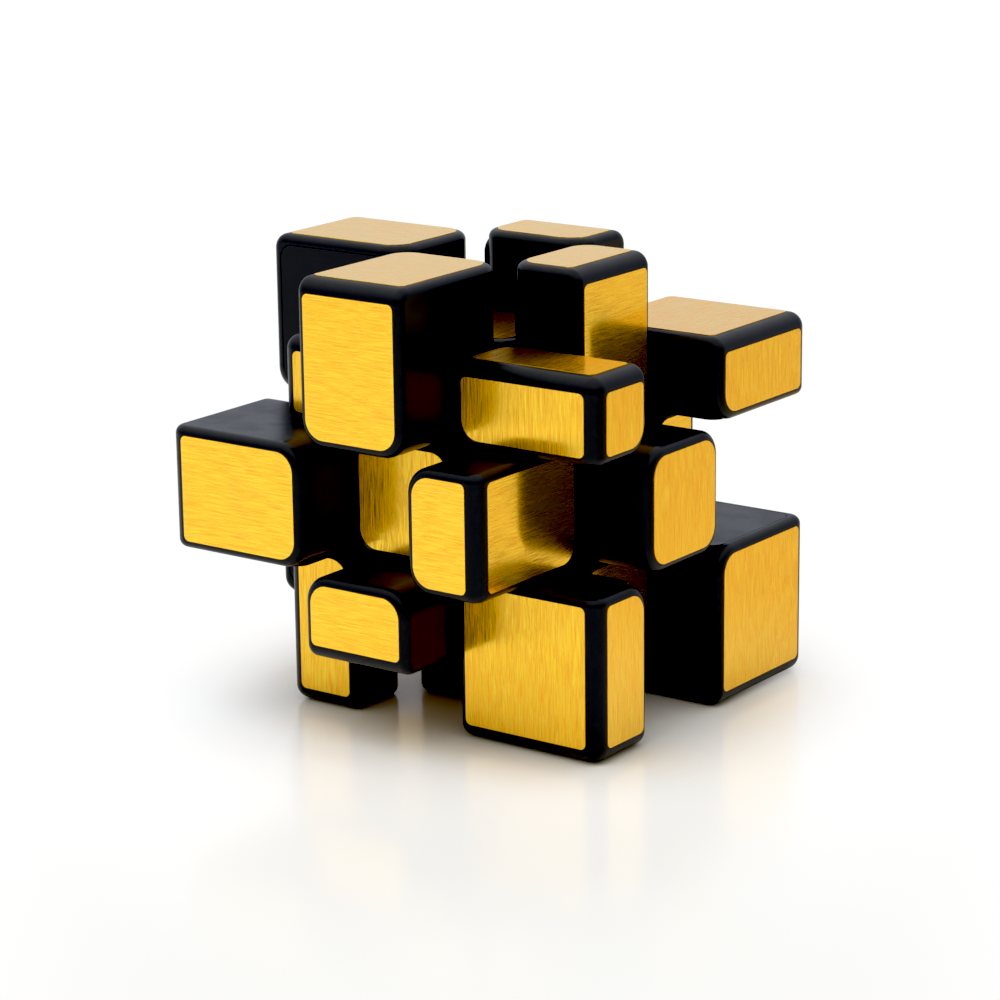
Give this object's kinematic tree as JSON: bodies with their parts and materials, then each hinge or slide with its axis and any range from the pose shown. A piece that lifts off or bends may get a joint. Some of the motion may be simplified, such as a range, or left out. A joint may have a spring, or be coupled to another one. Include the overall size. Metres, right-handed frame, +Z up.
{
  "type": "mirror block cube puzzle",
  "caption": "Twisty puzzle of unequal gold-foiled black blocks on a sprung core, with up and down layers that turn.",
  "frame": {"origin": "centre of the core, which is also the centre of the outer box", "axes": "+Z up through the up face, -Y out of the front face, +X out of the right face"},
  "size_m": [0.069, 0.069, 0.069],
  "materials": {
    "black_plastic": "glossy moulded ABS",
    "gold_foil": "brushed gold-coloured metallised film",
    "core_plastic": "plain moulded nylon",
    "spring_steel": "drawn wire",
    "screw_steel": "zinc plated"
  },
  "bodies": {
    "core": {"core_spider": "core_plastic", "tension_screws": "screw_steel", "screw_washers": "screw_steel", "back_left_edge_shell": "black_plastic", "back_right_edge_shell": "black_plastic", "front_left_edge_shell": "black_plastic", "front_right_edge_shell": "black_plastic", "middle_edge_feet": "black_plastic", "middle_edge_foils": "gold_foil"},
    "up_layer": {"up_back_edge_shell": "black_plastic", "up_back_left_corner_shell": "black_plastic", "up_back_right_corner_shell": "black_plastic", "up_corner_feet": "black_plastic", "up_corner_foils": "gold_foil", "up_edge_feet": "black_plastic", "up_edge_foils": "gold_foil", "up_front_edge_shell": "black_plastic", "up_front_left_corner_shell": "black_plastic", "up_front_right_corner_shell": "black_plastic", "up_left_edge_shell": "black_plastic", "up_right_edge_shell": "black_plastic"},
    "down_layer": {"down_back_edge_shell": "black_plastic", "down_back_left_corner_shell": "black_plastic", "down_back_right_corner_shell": "black_plastic", "down_corner_feet": "black_plastic", "down_corner_foils": "gold_foil", "down_edge_feet": "black_plastic", "down_edge_foils": "gold_foil", "down_front_edge_shell": "black_plastic", "down_front_left_corner_shell": "black_plastic", "down_front_right_corner_shell": "black_plastic", "down_left_edge_shell": "black_plastic", "down_right_edge_shell": "black_plastic"},
    "up_centre_block": {"up_centre_cap": "black_plastic", "up_centre_housing": "black_plastic", "up_centre_foil": "gold_foil", "up_spring": "spring_steel"},
    "down_centre_block": {"down_centre_cap": "black_plastic", "down_centre_housing": "black_plastic", "down_centre_foil": "gold_foil", "down_spring": "spring_steel"},
    "front_centre_block": {"front_centre_cap": "black_plastic", "front_centre_housing": "black_plastic", "front_centre_foil": "gold_foil", "front_spring": "spring_steel"},
    "back_centre_block": {"back_centre_cap": "black_plastic", "back_centre_housing": "black_plastic", "back_centre_foil": "gold_foil", "back_spring": "spring_steel"},
    "left_centre_block": {"left_centre_cap": "black_plastic", "left_centre_housing": "black_plastic", "left_centre_foil": "gold_foil", "left_spring": "spring_steel"},
    "right_centre_block": {"right_centre_cap": "black_plastic", "right_centre_housing": "black_plastic", "right_centre_foil": "gold_foil", "right_spring": "spring_steel"}
  },
  "joints": [
    {"name": "up_layer_turn", "type": "hinge", "parent": "core", "child": "up_layer", "pos_m": [0, 0, 0], "axis": [0, 0, 1], "continuous": true},
    {"name": "down_layer_turn", "type": "hinge", "parent": "core", "child": "down_layer", "pos_m": [0, 0, 0], "axis": [0, 0, -1], "continuous": true},
    {"name": "up_centre_lift", "type": "slide", "parent": "up_layer", "child": "up_centre_block", "axis": [0, 0, 1], "range_m": [0, 0.0006], "stiffness_N_per_m": 890, "springref_m": -0.002, "deforming": ["up_spring"]},
    {"name": "down_centre_lift", "type": "slide", "parent": "down_layer", "child": "down_centre_block", "axis": [0, 0, -1], "range_m": [0, 0.0006], "stiffness_N_per_m": 890, "springref_m": -0.002, "deforming": ["down_spring"]},
    {"name": "front_centre_lift", "type": "slide", "parent": "core", "child": "front_centre_block", "axis": [0, -1, 0], "range_m": [0, 0.0006], "stiffness_N_per_m": 890, "springref_m": -0.002, "deforming": ["front_spring"]},
    {"name": "back_centre_lift", "type": "slide", "parent": "core", "child": "back_centre_block", "axis": [0, 1, 0], "range_m": [0, 0.0006], "stiffness_N_per_m": 890, "springref_m": -0.002, "deforming": ["back_spring"]},
    {"name": "left_centre_lift", "type": "slide", "parent": "core", "child": "left_centre_block", "axis": [-1, 0, 0], "range_m": [0, 0.0006], "stiffness_N_per_m": 890, "springref_m": -0.002, "deforming": ["left_spring"]},
    {"name": "right_centre_lift", "type": "slide", "parent": "core", "child": "right_centre_block", "axis": [1, 0, 0], "range_m": [0, 0.0006], "stiffness_N_per_m": 890, "springref_m": -0.002, "deforming": ["right_spring"]}
  ]
}
